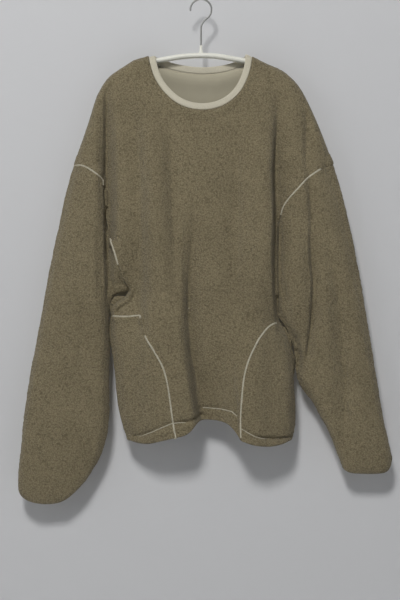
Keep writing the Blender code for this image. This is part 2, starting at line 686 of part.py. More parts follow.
def tube_rings(path, high, deep, sides, round_ends):
    """Rings of an elliptic tube along a path (x, z) in the plane of the hanger."""
    path = np.array(path, float)
    run = np.gradient(path, axis=0)
    run /= np.linalg.norm(run, axis=1)[:, None]
    stations = [(point, direction, 1.0) for point, direction in zip(path, run)]
    if round_ends:
        for share in ROUND_END:
            reach = high / 2 * share
            size = math.sqrt(1 - share * share)
            stations.insert(0, (path[0] - run[0] * reach, run[0], size))
            stations.append((path[-1] + run[-1] * reach, run[-1], size))
    rings = []
    for point, direction, size in stations:
        ring = []
        for k in range(sides):
            angle = 2 * math.pi * k / sides
            up = math.cos(angle) * size * high / 2
            back = math.sin(angle) * size * deep / 2
            ring.append((point[0] - direction[1] * up, back, point[1] + direction[0] * up))
        rings.append(np.array(ring))
    return rings


def hook_path():
    """Tip, arc over the rail, then the bend back to the shank under the arc's middle."""
    centre = -(HOOK_RADIUS - WIRE / 2)
    arc = [(HOOK_RADIUS * math.cos(math.radians(angle)),
            centre + HOOK_RADIUS * math.sin(math.radians(angle)))
           for angle in np.linspace(*HOOK_ARC, HOOK_STEPS)]
    bend = smooth_path((arc[-2], arc[-1]) + HOOK_BEND, HANGER_STEPS)[HANGER_STEPS:]
    return np.vstack([arc[:-1], bend])


def build_hanger(plastic, steel, parent):
    top = np.array(BAR_TOP, float)
    bar = smooth_path(np.column_stack([top[:, 0], top[:, 1] - BAR_HIGH / 2]), HANGER_STEPS)
    bar_object = add_object("hanger_bar", mesh_of_rings("hanger_bar", tube_rings(
        bar, BAR_HIGH, BAR_DEEP, BAR_SIDES, True), False), plastic, parent)
    stub_path = [(0, STUB_TOP), (0, BAR_TOP[len(BAR_TOP) // 2][1] - BAR_HIGH / 2)]
    stub = add_object("stub_tool", mesh_of_rings("stub_tool", tube_rings(
        stub_path, STUB_WIDE, STUB_WIDE, STUB_SIDES, False), False), plastic, parent)
    stub.hide_render = True
    stub.display_type = "WIRE"
    join = bar_object.modifiers.new("stub", "BOOLEAN")
    join.operation = "UNION"
    join.object = stub
    rings = tube_rings(hook_path(), WIRE, WIRE, WIRE_SIDES, True)
    # the lower end stays flat, on top of the stub
    rings = rings[:-len(ROUND_END)]
    add_object("hanger_hook", mesh_of_rings("hanger_hook", rings, False), steel, parent)


def main():
    for old in list(bpy.data.objects):
        bpy.data.objects.remove(old)
    root = bpy.data.objects.new("pullover", None)
    bpy.context.collection.objects.link(root)
    fleece = material("fleece", (0.25, 0.215, 0.15), 0.95)
    normals = build_cloth(fleece, root)
    rib = material("rib", (0.62, 0.58, 0.46), 0.85)
    build_binding(normals, rib, root)
    plastic = material("hanger plastic", (0.72, 0.70, 0.62), 0.4)
    steel = material("hook steel", (0.55, 0.55, 0.53), 0.3, 1.0)
    build_hanger(plastic, steel, root)


main()
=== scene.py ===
# %% [markdown]
# # A sherpa pullover on its hanger
# The pullover is sewn from six pieces of boa fleece: a front, a back, two sleeves and two
# curved corner panels at the hem. A cream binding closes the neck, cream flat seams join the
# pieces, and a thin arched hanger carries it. The solids of all that are ready. This lesson
# turns them into cloth: it copies each solid, smooths it, presses the creases in, raises the
# curly pile and sews the seams on.

# %% The solids to dress
import json
import math
import bpy
import numpy as np
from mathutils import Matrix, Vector
from mathutils.bvhtree import BVHTree

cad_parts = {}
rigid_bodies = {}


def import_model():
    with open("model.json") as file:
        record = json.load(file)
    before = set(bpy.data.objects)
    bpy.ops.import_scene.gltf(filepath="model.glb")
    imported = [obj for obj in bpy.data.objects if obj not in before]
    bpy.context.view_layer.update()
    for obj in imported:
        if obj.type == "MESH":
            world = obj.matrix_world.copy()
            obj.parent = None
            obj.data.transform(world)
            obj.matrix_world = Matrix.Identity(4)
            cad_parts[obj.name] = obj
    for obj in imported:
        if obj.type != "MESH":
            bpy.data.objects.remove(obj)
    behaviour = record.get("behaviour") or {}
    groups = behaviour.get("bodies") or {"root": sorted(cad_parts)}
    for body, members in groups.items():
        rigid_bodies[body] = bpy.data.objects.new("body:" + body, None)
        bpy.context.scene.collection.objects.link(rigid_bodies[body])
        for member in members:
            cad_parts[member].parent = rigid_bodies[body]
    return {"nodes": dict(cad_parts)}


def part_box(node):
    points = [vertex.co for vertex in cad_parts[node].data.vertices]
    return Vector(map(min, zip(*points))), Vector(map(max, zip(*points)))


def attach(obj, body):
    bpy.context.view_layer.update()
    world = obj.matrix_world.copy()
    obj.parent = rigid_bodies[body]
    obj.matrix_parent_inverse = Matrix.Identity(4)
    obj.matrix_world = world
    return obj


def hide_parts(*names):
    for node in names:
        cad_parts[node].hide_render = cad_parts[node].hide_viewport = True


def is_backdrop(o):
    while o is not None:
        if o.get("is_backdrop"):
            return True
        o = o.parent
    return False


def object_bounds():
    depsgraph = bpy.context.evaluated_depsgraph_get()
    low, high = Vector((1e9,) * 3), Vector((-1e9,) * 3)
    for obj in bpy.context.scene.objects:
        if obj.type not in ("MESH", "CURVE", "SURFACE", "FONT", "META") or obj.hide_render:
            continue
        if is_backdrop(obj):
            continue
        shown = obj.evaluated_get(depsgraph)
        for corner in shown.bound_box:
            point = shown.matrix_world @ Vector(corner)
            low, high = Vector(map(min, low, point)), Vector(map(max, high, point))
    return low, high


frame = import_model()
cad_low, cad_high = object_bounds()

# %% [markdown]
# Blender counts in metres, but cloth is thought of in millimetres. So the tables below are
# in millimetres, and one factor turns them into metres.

MM = 0.001
scene = bpy.context.scene
print("solids:", ", ".join(sorted(frame["nodes"])))

# %% [markdown]
# ## Camera
# The camera stands level, two metres in front of the pullover. A fairly long lens keeps
# the sleeves from looking nearer than the body.

# %% Camera
CAMERA_PLACE = (-1.8 * MM, -2000 * MM, -540 * MM)
SENSOR = 36.0  # mm wide
SEEN_HEIGHT = 1080 * MM  # at the pullover's middle
bpy.ops.object.select_all(action="DESELECT")
bpy.ops.object.camera_add(location=CAMERA_PLACE, rotation=(math.radians(90), 0, 0))
camera = bpy.context.object
camera.name = "camera"
camera.data.sensor_width = SENSOR
camera.data.lens = SENSOR * abs(CAMERA_PLACE[1]) / SEEN_HEIGHT
scene.camera = camera
print("lens", round(camera.data.lens, 1), "mm")

# %% [markdown]
# ## Finishes
# A finish is a small network of shader nodes. Written out link by link it gets long, so a
# little class wraps one output of a node. Adding or multiplying two of them then adds the
# Math node that does it, and a finish reads like a formula.

# %% A reading: one output of a node
class Reading:
    """One output of a shader node, which sums and products can use as a number."""

    def __init__(self, finish, socket):
        self.finish = finish
        self.socket = socket

    def __getitem__(self, output):
        return Reading(self.finish, self.socket.node.outputs[output])

    def maths(self, operation, first, second):
        return self.finish.node("ShaderNodeMath", {"operation": operation},
                                {0: first, 1: second})

    def __add__(self, other):
        return self.maths("ADD", self, other)

    __radd__ = __add__

    def __sub__(self, other):
        return self.maths("SUBTRACT", self, other)

    def __rsub__(self, other):
        return self.maths("SUBTRACT", other, self)

    def __mul__(self, other):
        return self.maths("MULTIPLY", self, other)

    __rmul__ = __mul__


# %% [markdown]
# The second class is the finish itself. It starts with one Principled shader, whose even
# values are set on its own sockets, and one method adds every other kind of node.

# %% A finish: one material
def set_all(thing, settings):
    for setting, value in settings.items():
        setattr(thing, setting, value)


class Finish:
    """A material with one Principled shader, and a way to add any other node."""

    def __init__(self, name, **even):
        self.material = bpy.data.materials.new(name)
        self.material.use_nodes = True
        self.tree = self.material.node_tree
        self.shader = self.tree.nodes["Principled BSDF"]
        for socket, value in even.items():
            self.shader.inputs[socket.replace("_", " ")].default_value = value

    def node(self, kind, settings=None, sockets=None):
        made = self.tree.nodes.new(kind)
        set_all(made, settings or {})
        for socket, value in (sockets or {}).items():
            self.join(value, made.inputs[socket])
        return Reading(self, made.outputs[0])

    def join(self, value, socket):
        if isinstance(value, Reading):
            self.tree.links.new(value.socket, socket)
        else:
            socket.default_value = value

    def colours(self, share, first, second):
        """first where share is 0, second where it is 1."""
        mixed = self.node("ShaderNodeMix", {"data_type": "RGBA", "clamp_factor": True},
                          {0: share, 6: (*first, 1), 7: (*second, 1)})
        return mixed[2]

    def place(self):
        """Where a point of the piece is, in metres."""
        return self.node("ShaderNodeTexCoord")["Object"]

    def noise(self, size, detail):
        return self.node("ShaderNodeTexNoise", None,
                         {"Vector": self.place(), "Scale": 1 / size, "Detail": detail,
                          "Roughness": 0.5})

    def cells(self, size):
        return self.node("ShaderNodeTexVoronoi", {"feature": "SMOOTH_F1"},
                         {"Vector": self.place(), "Scale": 1 / size, "Smoothness": 0.5})

    def relief(self, height, depth):
        """Bumps the surface by a height from 0 to 1, which stands for depth in metres."""
        return self.node("ShaderNodeBump", None, {"Height": height, "Distance": depth})

    def wear(self, **varying):
        for socket, value in varying.items():
            self.join(value, self.shader.inputs[socket.replace("_", " ")])
        return self.material


# %% [markdown]
# ## Boa fleece
# The pile of boa fleece is a mass of small curls, two to three millimetres across, with shaded
# gaps between them. Two sizes of rounded cells make the curls, a fine noise makes the loose
# fibres on them, and a wide one the brushed patches that every pile has. The same readings
# drive the colour and the relief, so that each gap is low and is also painted darker, as
# painted shade.

# %% Boa fleece
CURL, SMALL_CURL, FIBRE = 2.6 * MM, 1.5 * MM, 0.8 * MM
CURL_SHARE, SMALL_CURL_SHARE, FIBRE_SHARE = 0.55, 0.3, 0.15  # of the pile's height
PILE_RELIEF = 3.0 * MM
BRUSHED_PATCH = 45 * MM
# the first number sets how much darker the gaps between the curls are painted: painted shade
PAINTED_GAP_SHADE, PATCH_CONTRAST, MIDDLE_SHADE = 2.1, 0.4, 0.45
FLEECE_DARK = (0.131, 0.106, 0.060)
FLEECE_LIGHT = (0.296, 0.248, 0.149)


def boa_fleece():
    finish = Finish("boa_fleece", Roughness=0.95, Sheen_Weight=0.12, Sheen_Roughness=0.6,
                    Specular_IOR_Level=0.15)
    curls = 1 - finish.cells(CURL)["Distance"]
    small_curls = 1 - finish.cells(SMALL_CURL)["Distance"]
    fibres = finish.noise(FIBRE, 3)
    patches = finish.noise(BRUSHED_PATCH, 2)
    height = curls * CURL_SHARE + small_curls * SMALL_CURL_SHARE + fibres * FIBRE_SHARE
    # painted shade: the low gaps between the curls are coloured darker; the wide patches vary
    # the tone at random
    shade = (height - 0.5) * PAINTED_GAP_SHADE + (patches - 0.5) * PATCH_CONTRAST + MIDDLE_SHADE
    return finish.wear(Base_Color=finish.colours(shade, FLEECE_DARK, FLEECE_LIGHT),
                       Normal=finish.relief(height, PILE_RELIEF))


fleece = boa_fleece()
print("finish:", fleece.name)

# %% [markdown]
# The inside of the fleece is its plain knitted ground. Its stitches stand in fine upright
# rows, a bit over a millimetre apart, and it is smoother and paler than the pile. A sine
# across the cloth makes the rows, and a noise of the same size makes them uneven.

# %% Knitted inside
KNIT_ROW = 1.3 * MM
ROW_SHARE, LOOP_SHARE = 0.12, 0.7  # of the knit's height
KNIT_RELIEF = 0.3 * MM
STITCH_SHADE, PATCH_SHADE = 0.4, 0.6  # parts of the knit's shade
KNIT_DARK = (0.37, 0.335, 0.245)
KNIT_LIGHT = (0.45, 0.415, 0.315)


def knit_inside():
    finish = Finish("knit_inside", Roughness=0.85, Sheen_Weight=0.15,
                    Sheen_Roughness=0.5, Specular_IOR_Level=0.2)
    across = finish.node("ShaderNodeSeparateXYZ", None, {0: finish.place()})["X"]
    rows = across.maths("SINE", across * (2 * math.pi / KNIT_ROW), 0)
    height = rows * ROW_SHARE + finish.noise(KNIT_ROW, 2) * LOOP_SHARE
    shade = height * STITCH_SHADE + finish.noise(BRUSHED_PATCH, 2) * PATCH_SHADE
    return finish.wear(Base_Color=finish.colours(shade, KNIT_DARK, KNIT_LIGHT),
                       Normal=finish.relief(height, KNIT_RELIEF))


knit = knit_inside()
print("finish:", knit.name)

# %% [markdown]
# ## From a solid to cloth
# A solid's skin is loose triangles. Merged and turned into quads it can be subdivided. Its
# sharp edges are where the cloth was cut, so they are creased fully: they keep the pieces'
# edges in place, and the slits between the pieces stay as narrow as they are.

# %% Copy a solid and round it off
MERGE = 0.01 * MM
CUT_ANGLE = math.radians(50)
QUAD_ANGLE = math.radians(40)


def only(piece):
    """An operator acts on all that is selected, so nothing else may be."""
    bpy.ops.object.select_all(action="DESELECT")
    piece.select_set(True)
    bpy.context.view_layer.objects.active = piece


def change(piece, name, kind, **settings):
    """Adds a modifier with its settings and applies it."""
    modifier = piece.modifiers.new(name, kind)
    set_all(modifier, settings)
    bpy.ops.object.modifier_apply(modifier=modifier.name)


def copy_of(node, name):
    """A copy of a solid in quads, with its sharp edges creased and marked as seams."""
    cloth = bpy.data.objects.new(name, frame["nodes"][node].data.copy())
    scene.collection.objects.link(cloth)
    cloth.data.materials.clear()
    only(cloth)
    bpy.ops.mesh.customdata_custom_splitnormals_clear()
    bpy.ops.object.mode_set(mode="EDIT")
    bpy.ops.mesh.select_all(action="SELECT")
    bpy.ops.mesh.remove_doubles(threshold=MERGE)
    bpy.ops.mesh.tris_convert_to_quads(face_threshold=QUAD_ANGLE,
                                       shape_threshold=QUAD_ANGLE)
    bpy.ops.mesh.select_mode(type="EDGE")
    bpy.ops.mesh.select_all(action="DESELECT")
    bpy.ops.mesh.edges_select_sharp(sharpness=CUT_ANGLE)
    bpy.ops.transform.edge_crease(value=1)
    bpy.ops.mesh.mark_seam()
    bpy.ops.object.mode_set(mode="OBJECT")
    return cloth


def round_off(piece, levels):
    only(piece)
    change(piece, "rounding", "SUBSURF", levels=levels, render_levels=levels)


# %% [markdown]
# The cut edges part the skin into islands: the pile side, the knit side and the narrow
# cut edges between them. The two sides are the two largest, and on the pile side the faces
# look away from the wearer. Each gets a material slot of its own.

# %% Tell the pile side from the knit side
PILE_SIDE, KNIT_SIDE, CUT_EDGE = 0, 1, 2
WEARER = Vector((0, 0, -0.5))  # a point inside the body


def beside_edges(mesh):
    """The faces beside each edge, under the numbers of the edge's two ends."""
    beside = {}
    for face in mesh.polygons:
        for key in face.edge_keys:
            beside.setdefault(key, []).append(face)
    return beside


def islands(mesh):
    """Groups of face numbers, largest first, that the seams part from each other."""
    beside = beside_edges(mesh)
    seams = {edge.key for edge in mesh.edges if edge.use_seam}
    waiting = set(range(len(mesh.polygons)))
    groups = []
    while waiting:
        group = [waiting.pop()]
        for number in group:
            for key in mesh.polygons[number].edge_keys:
                if key not in seams:
                    found = waiting.intersection(face.index for face in beside[key])
                    group.extend(found)
                    waiting.difference_update(found)
        groups.append(group)
    return sorted(groups, key=len, reverse=True)


def mark_sides(cloth, inside_point):
    """Gives the two largest islands to the pile and the knit, and the rest to the edge."""
    for material in (fleece, knit, fleece):
        cloth.data.materials.append(material)
    faces = cloth.data.polygons
    for face in faces:
        face.material_index = CUT_EDGE
    for group in islands(cloth.data)[:2]:
        outward = sum(faces[i].area * faces[i].normal.dot(faces[i].center - inside_point)
                      for i in group)
        for i in group:
            faces[i].material_index = PILE_SIDE if outward > 0 else KNIT_SIDE


# %% [markdown]
# Where the cloth folds sharply at its edge, the cut edge can hide in one of the two sides.
# There the pile touches the knit directly, and of the two faces that meet, the one that
# bends more from its own side is the cut edge.

# %% Find the hidden cut edges
def find_cut_edges(cloth):
    """Marks the hidden cut edges, creases every line between two sides and counts them."""
    mesh = cloth.data
    beside = beside_edges(mesh)

    def bend(face):
        near = [other for key in face.edge_keys for other in beside[key]
                if other is not face and other.material_index == face.material_index]
        return max((face.normal.angle(other.normal) for other in near), default=math.pi)

    meetings = [pair for pair in beside.values()
                if {face.material_index for face in pair} == {PILE_SIDE, KNIT_SIDE}]
    hidden = [max(pair, key=bend) for pair in meetings]
    for face in hidden:
        face.material_index = CUT_EDGE
    crease = mesh.attributes.get("crease_edge")
    for edge in mesh.edges:
        if len({face.material_index for face in beside[edge.key]}) > 1:
            crease.data[edge.index].value = 1.0
    return len(hidden)


# %% [markdown]
# One level of subdivision rounds the skin. Its faces are still tall and narrow, and curls
# need small square ones. So every edge that is too long for its side is halved, again and
# again. The knit side is smooth and stays coarser than the pile.

# %% Subdivide
LONGEST_EDGE = {PILE_SIDE: 3.1 * MM, KNIT_SIDE: 9.5 * MM, CUT_EDGE: 9.5 * MM}
HALVINGS = 5  # at most


def numbers(rows, field, kind=float, width=1):
    """One field of all rows, such as a mesh's edges, as an array."""
    values = np.zeros(len(rows) * width, kind)
    rows.foreach_get(field, values)
    return values.reshape(-1, width) if width > 1 else values


def select_long_edges(cloth):
    """Selects the edges that are too long for their side, and says how many there are."""
    mesh = cloth.data
    places = numbers(mesh.vertices, "co", width=3)
    ends = numbers(mesh.edges, "vertices", int, 2)
    length = np.linalg.norm(places[ends[:, 0]] - places[ends[:, 1]], axis=1)
    edge_of_corner = numbers(mesh.loops, "edge_index", int)
    side_of_corner = np.repeat(numbers(mesh.polygons, "material_index", int),
                               numbers(mesh.polygons, "loop_total", int))
    longest = np.full(len(mesh.edges), np.inf)
    for side in (CUT_EDGE, KNIT_SIDE, PILE_SIDE):
        longest[edge_of_corner[side_of_corner == side]] = LONGEST_EDGE[side]
    too_long = length > longest
    mesh.edges.foreach_set("select", too_long)
    return int(too_long.sum())


def pick_nothing(kind):
    """Deselects all of the active mesh, so that points or edges can be picked."""
    bpy.ops.object.mode_set(mode="EDIT")
    bpy.ops.mesh.select_mode(type=kind)
    bpy.ops.mesh.select_all(action="DESELECT")
    bpy.ops.object.mode_set(mode="OBJECT")


def subdivide(cloth):
    round_off(cloth, 1)
    for _ in range(HALVINGS):
        pick_nothing("EDGE")
        if select_long_edges(cloth):
            bpy.ops.object.mode_set(mode="EDIT")
            bpy.ops.mesh.subdivide(number_cuts=1, smoothness=1.0)
            bpy.ops.object.mode_set(mode="OBJECT")


# %% [markdown]
# ## Creases
# The wide folds are in the solids already. What makes cloth look like cloth is that they
# break up into narrow, uneven creases. Each crease is a short table in millimetres: where
# it runs, how deep it is there, and how wide it is on its left and on its right. A negative
# depth makes a ridge. A narrow side beside a wide one makes a step, as where one fold laps
# over the next. On a crease that runs across, left is below and right is above. Both faces
# of the cloth move together, so it keeps its thickness.

# %% Creases of the front: x, z, depth, width on the left, width on the right
FRONT_BODY = {
    "beside the left sleeve": (
        (-171, -150, 0, 2, 9), (-171, -205, 8, 1.8, 9), (-171, -300, 13, 1.8, 10),
        (-170.5, -380, 16, 1.8, 10), (-169.5, -430, 16, 1.8, 8), (-167.5, -490, 15, 1.8, 6),
        (-166, -530, 11, 2, 5), (-164, -552, 0, 2, 4)),
    "bottom of that fold": (
        (-166, -200, 0, 4, 10), (-165, -300, 7, 4, 10), (-164.5, -380, 8, 4, 10),
        (-162, -430, 7, 4, 9), (-161, -500, 4, 4, 6), (-160, -530, 0, 4, 5)),
    "hollow under the left arm": (
        (-158, -533, 0, 5, 7), (-158, -541, 13, 5, 8), (-158, -551, 13, 5, 8),
        (-160, -562, 0, 5, 6)),
    "roll of the left sleeve": (
        (-176, -170, 0, 40, 3), (-176, -300, -6, 56, 3), (-175, -400, -9, 60, 3),
        (-173.5, -490, -9, 60, 3), (-172, -545, -9, 60, 4), (-172, -620, -9, 60, 6),
        (-172, -720, -7, 56, 10), (-180, -840, 0, 50, 16)),
    "under the hooked fold": (
        (-164, -574, 0, 6, 3), (-158, -563, 10, 8, 2.5), (-149, -549, 16, 9, 2.5),
        (-137, -537, 16, 9, 2.5), (-124, -530, 9, 7, 2.5), (-116, -524, 0, 5, 3)),
    "step left of the chest": (
        (-136, -168, 0, 18, 12), (-125, -204, 6, 20, 12), (-116, -239, 9, 22, 12),
        (-112.5, -278, 11, 23, 12), (-109, -337, 13, 23, 12), (-108, -397, 13, 23, 12),
        (-106, -475, 13, 23, 12), (-106.5, -554, 9, 22, 12), (-108, -610, 0, 20, 10)),
    "soft valley": (
        (-55, -204, 0, 9, 8), (-53, -275, 4, 9, 8), (-51.5, -363, 5, 9, 8),
        (-48, -434, 5, 9, 8), (-44.5, -513, 4.5, 9, 7), (-43, -575, 0, 8, 7)),
    "lobe beside the main fold": (
        (-32, -400, 0, 14, 4), (-34, -486, -3, 14, 4), (-33, -540, -4, 14, 4),
        (-30, -621, -4, 14, 4), (-24, -680, -4, 14, 4), (-12, -745, -3, 12, 4)),
    "main fold": (
        (-12.5, -363, 0, 3, 9), (-16, -425, 4, 2.5, 10), (-19.5, -473, 6, 2.5, 10),
        (-23, -513, 8, 2.5, 10), (-23, -540, 9, 2.5, 11), (-22, -584, 9, 2.5, 12),
        (-18.5, -628, 9, 2.5, 12), (-14, -673, 9, 2.5, 12), (-7, -717, 8, 2.5, 12),
        (0, -755, 6, 2.5, 10), (2, -790, 5, 2.5, 10)),
    "step right of the chest": (
        (66, -215, 0, 26, 5), (65.5, -290, 4, 28, 5), (64.5, -363, 5.5, 30, 5),
        (64.5, -434, 5.5, 30, 5), (66, -520, 3.5, 28, 5), (66, -600, 0, 24, 5)),
    "right edge of the valley": (
        (58, -630, 0, 12, 4), (57, -693, 4.5, 14, 4), (63, -728, 6.5, 14, 4),
        (70, -770, 5.0, 12, 4)),
    "edge of the body, right": (
        (128, -200, 0, 34, 4), (127.5, -300, -8, 38, 4), (127.5, -440, -12, 38, 4),
        (129, -530, -11, 36, 4), (130, -590, -4, 30, 6), (130, -640, 0, 26, 8)),
    "right sleeve falls away": (
        (150, -300, 0, 5, 50), (152, -400, -5, 5, 55), (156, -500, -6, 6, 55),
        (175, -600, -4, 8, 50), (200, -700, 0, 8, 40)),
    "beside the right sleeve": (
        (137, -190, 0, 3, 5), (136, -260, 7, 2.4, 5), (135.5, -330, 11, 2.2, 5),
        (136.5, -400, 13, 2.2, 5), (138.5, -440, 13, 2.2, 5), (139.3, -480, 13, 2.2, 5),
        (138.8, -545, 11, 2.2, 4), (138.5, -577, 0, 3, 4)),
    "fullness of the right corner": (
        (150, -590, 0, 36, 8), (157, -680, -12, 40, 8), (158, -790, -12, 40, 8)),
}
print("creases of the front's body:", len(FRONT_BODY))

# %% [markdown]
# The right sleeve is full of cloth and hangs in upright folds, which end under the arm in a
# short slanting one. The left sleeve hangs almost smooth.

# %% Creases of the sleeves' front
FRONT_SLEEVES = {
    "cap of the right sleeve": (
        (190, -172, 0, 4, 7), (189, -210, 4.5, 4, 8), (189, -262, 5.5, 4, 8),
        (192, -328, 2, 4, 8), (197, -433, 0, 5, 9)),
    "right sleeve, inner valley": (
        (195, -300, 0, 3, 8), (197, -360, 6, 3, 9), (197.5, -433, 8, 3, 10),
        (203, -510, 11, 2.8, 10), (197, -581, 11, 2.8, 9), (190.5, -634, 10, 2.8, 8),
        (183, -675, 0, 3, 6)),
    "right sleeve, outer valley": (
        (226, -420, 0, 10, 4), (230, -463, 3, 12, 4), (242, -510, 5, 12, 4),
        (250.5, -563, 6, 12, 4), (253, -611, 6, 13, 4), (259, -670, 6.5, 13, 4),
        (259, -730, 5.5, 12, 4), (253, -807, 0, 10, 4)),
    "right sleeve, under the arm": (
        (150, -590, 0, 4, 5), (160, -610, 5, 5, 6), (170, -630, 8, 5, 6),
        (176, -650, 8, 5, 6), (178, -668, 6, 5, 5), (172, -686, 0, 4, 4)),
    "left sleeve, elbow": (
        (-246, -560, 0, 12, 10), (-238, -625, 1.6, 14, 10), (-236, -700, 1.4, 14, 12),
        (-240, -760, 0, 12, 10)),
    "left sleeve, cuff": (
        (-262, -800, 0, 7, 8), (-268, -850, 1.8, 8, 9), (-272, -905, 2.4, 8, 9)),
}
print("creases of the sleeves' front:", len(FRONT_SLEEVES))

# %% [markdown]
# The stitching that holds the hem up presses a groove into the pile. Below it the turned-up
# edge is thicker and rolls a little.

# %% Grooves and rolls of the hem
FRONT_HEM = {
    "hem, left": (
        (-160, -777, 3.0, 3.5, 2), (-133, -778.5, 6.0, 3.5, 2), (-121, -783, 7.0, 3.5, 2),
        (-107, -781, 6.5, 3.5, 2), (-86, -772.5, 4.5, 3.5, 2), (-72, -765.5, 3.2, 3.5, 2),
        (-51, -756.5, 3.4, 3.5, 2), (-24.5, -754, 6.0, 3.5, 2), (0, -745, 6.5, 3.5, 2)),
    "hem, middle": (
        (1, -732, 3.4, 3.5, 2), (37, -734, 3.2, 3.5, 2), (54.5, -737, 3.4, 3.5, 2),
        (65, -746, 3.2, 3.5, 2)),
    "hem, right": (
        (70, -765.5, 3.2, 3.5, 2), (95, -779.5, 4.5, 3.5, 2), (112, -784, 6.5, 3.5, 2),
        (136, -785, 7.0, 3.5, 2), (160, -784, 6.5, 3.5, 2), (172, -780, 4.0, 3.5, 2)),
    "hem roll, left": (
        (-150, -786, -1.5, 4, 4), (-107, -790, -2.5, 4, 4), (-51, -770, -2.0, 4, 4),
        (-10, -760, -2.0, 4, 4)),
    "hem roll, right": (
        (75, -778, -2.0, 4, 4), (112, -792, -2.5, 4, 4), (165, -791, -2.0, 4, 4)),
}
FRONT_CREASES = FRONT_BODY | FRONT_SLEEVES | FRONT_HEM
print("creases of the hem:", len(FRONT_HEM), "of", len(FRONT_CREASES), "on the front")

# %% [markdown]
# The back hangs flatter than the front. Its creases are longer and shallower, and beside
# the sleeves it has two lines like the front's.

# %% Creases of the back
BACK_CREASES = {
    "hem": (
        (-150, -778, 2.0, 4, 2.5), (-90, -773, 2.4, 4, 2.5), (-40, -756, 2.0, 4, 3),
        (0, -736, 1.8, 4, 3), (40, -738, 1.8, 4, 3), (80, -762, 2.2, 4, 2.5),
        (120, -772, 2.6, 4, 2.5), (170, -774, 2.0, 4, 2.5)),
    "left of the middle": (
        (-66, -240, 0, 6, 10), (-76, -380, 2.6, 5, 11), (-84, -520, 4.0, 4, 12),
        (-84, -660, 4.6, 4, 12), (-80, -790, 3.2, 4, 12)),
    "right of the middle": (
        (42, -230, 0, 10, 6), (50, -360, 2.4, 11, 5), (60, -540, 3.8, 12, 4),
        (60, -700, 4.2, 12, 4), (57, -790, 2.8, 12, 4)),
    "short one between": (
        (-14, -430, 0, 8, 7), (-10, -540, 2.2, 9, 6), (-12, -660, 2.6, 8, 6),
        (-16, -745, 0, 8, 6)),
    "beside the left sleeve": (
        (-168, -210, 0, 5, 5), (-170, -300, 5, 5, 6), (-170, -400, 6.5, 5, 6),
        (-164, -480, 4, 5, 5), (-160, -522, 0, 4, 4)),
    "beside the right sleeve": (
        (142, -210, 0, 5, 5), (146, -320, 5.5, 5, 6), (147, -430, 6.5, 5, 6),
        (147, -500, 4, 5, 5), (146, -548, 0, 4, 4)),
    "left sleeve": (
        (-220, -430, 0, 8, 5), (-236, -560, 3.0, 9, 5), (-246, -710, 3.4, 9, 5),
        (-256, -840, 0, 8, 5)),
    "right sleeve": (
        (212, -410, 0, 5, 8), (228, -560, 3.4, 5, 9), (250, -700, 3.0, 5, 9),
        (278, -825, 0, 5, 8)),
}
print("creases of the back:", len(BACK_CREASES))

# %% [markdown]
# The front and the back hang a few centimetres apart, and less near the folds at the
# sides. A crease can't go deeper than that. So rays are sent through the solids on a fine
# grid, the room between the two inner walls is measured, and each crease is eased off
# before it fills its share of the room.

# %% Measure the room inside
GRID = 4.0  # mm
HAIR = 0.01 * MM  # from one wall to where the next ray starts
WALL_FACES = 4  # outside and inside of the front, inside and outside of the back


def skin_of(pieces, wanted=None):
    """A search tree over the faces of some pieces."""
    places, faces = [], []
    for piece in pieces:
        start = len(places)
        places.extend(vertex.co for vertex in piece.data.vertices)
        faces.extend([start + i for i in face.vertices] for face in piece.data.polygons
                     if wanted is None or face.material_index == wanted)
    return BVHTree.FromPolygons(places, faces)


def spread(values, known):
    """Fills the cells beside the known ones, then evens all of them out a little."""
    steps = ((0, 0), (0, 1), (0, -1), (1, 0), (-1, 0))
    near = np.array([np.roll(values, step, (0, 1)) for step in steps])
    weight = np.array([np.roll(known, step, (0, 1)) for step in steps]).astype(float)
    filled = (near * weight).sum(0) / np.maximum(weight.sum(0), 1)
    filled = np.where(known, values, filled)
    return np.mean([np.roll(filled, step, (0, 1)) for step in steps], axis=0)


def measure_inside(skin):
    """Room between the inner walls, middle and half depth, in mm, on a grid over x, z."""
    xs = np.arange(cad_low.x / MM, cad_high.x / MM + GRID, GRID)
    zs = np.arange(cad_low.z / MM, cad_high.z / MM + GRID, GRID)
    walls = np.zeros((WALL_FACES, len(zs), len(xs)))
    known = np.zeros((len(zs), len(xs)), bool)
    for row, z in enumerate(zs):
        for column, x in enumerate(xs):
            start = Vector((x * MM, cad_low.y - MM, z * MM))
            depths = []
            while len(depths) < WALL_FACES:
                hit = skin.ray_cast(start, Vector((0, 1, 0)))[0]
                if hit is None:
                    break
                depths.append(hit.y / MM)
                start = hit + Vector((0, HAIR, 0))
            if len(depths) == WALL_FACES:
                walls[:, row, column] = depths
                known[row, column] = True
    front, front_inside, back_inside, back = walls
    room = np.where(known, back_inside - front_inside, np.inf)
    steps = [(up, across) for up in (-1, 0, 1) for across in (-1, 0, 1)]
    least = np.min([np.roll(room, step, (0, 1)) for step in steps], axis=0)
    return (xs, zs, np.where(np.isfinite(least), least, 0),
            spread((front + back) / 2, known), spread((back - front) / 2, known))


fleece_nodes = [node for node in frame["nodes"].values()
                if node.name.startswith(("front", "back", "sleeve", "side"))]
room_x, room_z, room, middle, half_depth = measure_inside(skin_of(fleece_nodes))
print("most room inside", round(room.max(), 1), "mm")

# %% [markdown]
# Every point of the cloth looks for the nearest place on a crease. Its distance from there,
# counted in widths, says how far it moves: a trough is narrow at its bottom and runs out
# softly, and a ridge is round like a bell. The depth follows tanh towards its limit, which
# eases a crease off without a kink.

# %% Depth of a crease
LAST_CELL = 1.001  # keeps a point on the grid's far edge inside its last cell
LEAST_LIMIT = 0.3  # mm
BOTTOM = 0.35  # widths over which the bottom of a trough is rounded
TROUGH_REACH = 2.2  # widths from the bottom of a trough to where it has run out


